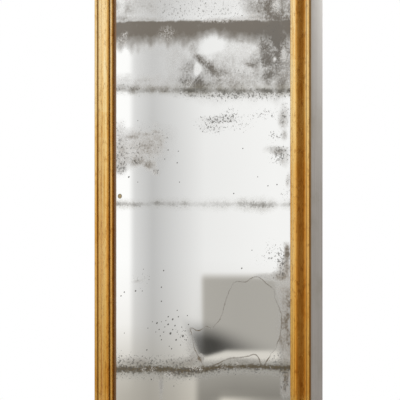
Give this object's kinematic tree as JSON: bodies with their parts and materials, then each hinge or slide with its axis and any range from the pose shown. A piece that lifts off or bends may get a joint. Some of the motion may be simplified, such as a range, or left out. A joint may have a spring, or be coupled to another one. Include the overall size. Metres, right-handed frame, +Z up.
{
  "type": "pier mirror",
  "caption": "Tall wall-hung pier mirror: aged silvered plate in a gilt reverse-ogee moulding on a deep painted case, with two swinging hanging rings at the back.",
  "frame": {"origin": "bottom centre of the whole object's box: under the middle of the gilt frame's lower edge, half way through its depth", "axes": "+X to the right as the viewer faces the glass, -Y out of the front of the glass, +Y towards the wall, +Z up"},
  "size_m": [0.76, 0.104, 2.13],
  "materials": {
    "gilding": "water-gilt gesso over carved pine, burnished, with the red-brown clay rubbed through and dark patina in the hollows",
    "pine": "planed and left bare, browned with age",
    "backboard_pine": "rough sawn and left bare, browned with age",
    "oak": "sawn, bare",
    "grey_paint": "matt grey distemper on pine",
    "silvered_glass": "polished plate, silvered behind, with foxing and tide marks in the silvering",
    "iron": "forged, blackened, worn"
  },
  "bodies": {
    "frame": {"bottom_moulding": "gilding", "right_moulding": "gilding", "top_moulding": "gilding", "left_moulding": "gilding", "mitre_keys": "oak", "subframe_bottom_rail": "pine", "subframe_right_stile": "pine", "subframe_top_rail": "pine", "subframe_left_stile": "pine", "case_bottom_board": "grey_paint", "case_right_side": "grey_paint", "case_top_board": "grey_paint", "case_left_side": "grey_paint", "corner_blocks": "pine", "mirror_plate": "silvered_glass", "setting_blocks": "oak", "glazing_blocks": "pine", "backboard_1": "backboard_pine", "backboard_2": "backboard_pine", "backboard_3": "backboard_pine", "backboard_4": "backboard_pine", "backboard_5": "backboard_pine", "backboard_6": "backboard_pine", "backboard_7": "backboard_pine", "backboard_8": "backboard_pine", "backboard_9": "backboard_pine", "backboard_10": "backboard_pine", "backboard_11": "backboard_pine", "backboard_12": "backboard_pine", "hanging_rail": "pine", "middle_rail": "pine", "lower_rail": "pine", "moulding_screws": "iron", "case_screws": "iron", "backboard_nails": "iron", "rail_screws": "iron", "hanger_screws": "iron", "hanger_plate_left": "iron", "hanger_plate_right": "iron"},
    "ring_left": {"hanger_ring_left": "iron"},
    "ring_right": {"hanger_ring_right": "iron"}
  },
  "joints": [
    {"name": "ring_left_swing", "type": "hinge", "parent": "frame", "child": "ring_left", "pos_m": [-0.22, 0.0295, 1.772], "axis": [1, 0, 0], "range_deg": [0, 180]},
    {"name": "ring_right_swing", "type": "hinge", "parent": "frame", "child": "ring_right", "pos_m": [0.22, 0.0295, 1.772], "axis": [1, 0, 0], "range_deg": [0, 180]}
  ]
}
